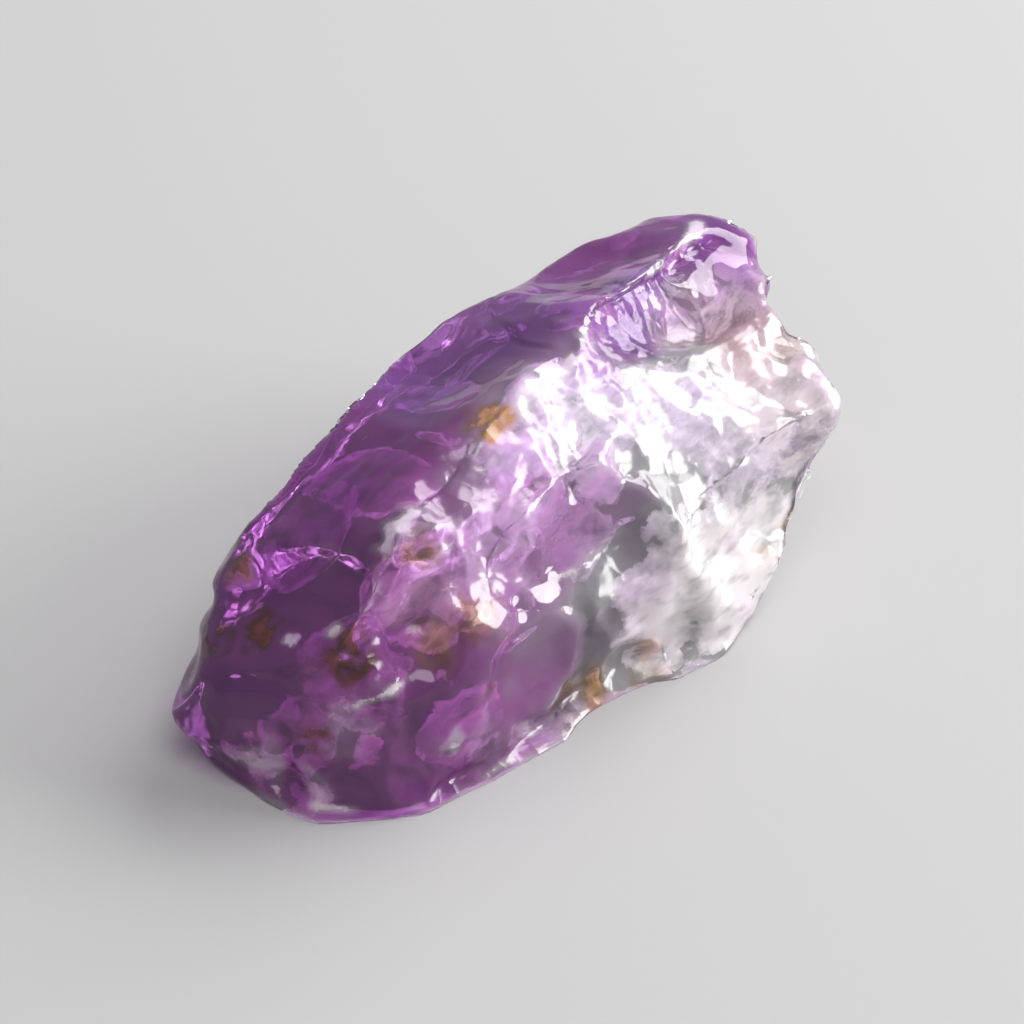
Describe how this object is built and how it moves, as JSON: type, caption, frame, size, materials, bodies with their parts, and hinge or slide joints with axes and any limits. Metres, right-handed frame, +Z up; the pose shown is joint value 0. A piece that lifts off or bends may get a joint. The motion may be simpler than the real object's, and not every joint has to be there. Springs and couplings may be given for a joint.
{
  "type": "rough ametrine crystal",
  "caption": "Broken piece of rough ametrine, see-through purple quartz that pales to milky white along one side, with shell-shaped breaks and a flat break to rest on.",
  "frame": {"origin": "centre of the stone's box in plan, on the flat break that it rests on", "axes": "+X along the stone towards its lobed end, +Z up from the flat break, -Y towards the pale face"},
  "size_m": [0.049, 0.0254, 0.0181],
  "materials": {
    "ametrine": "glassy on fresh breaks, frosted on worn ones"
  },
  "bodies": {
    "root": {"ametrine": "ametrine"}
  },
  "joints": []
}
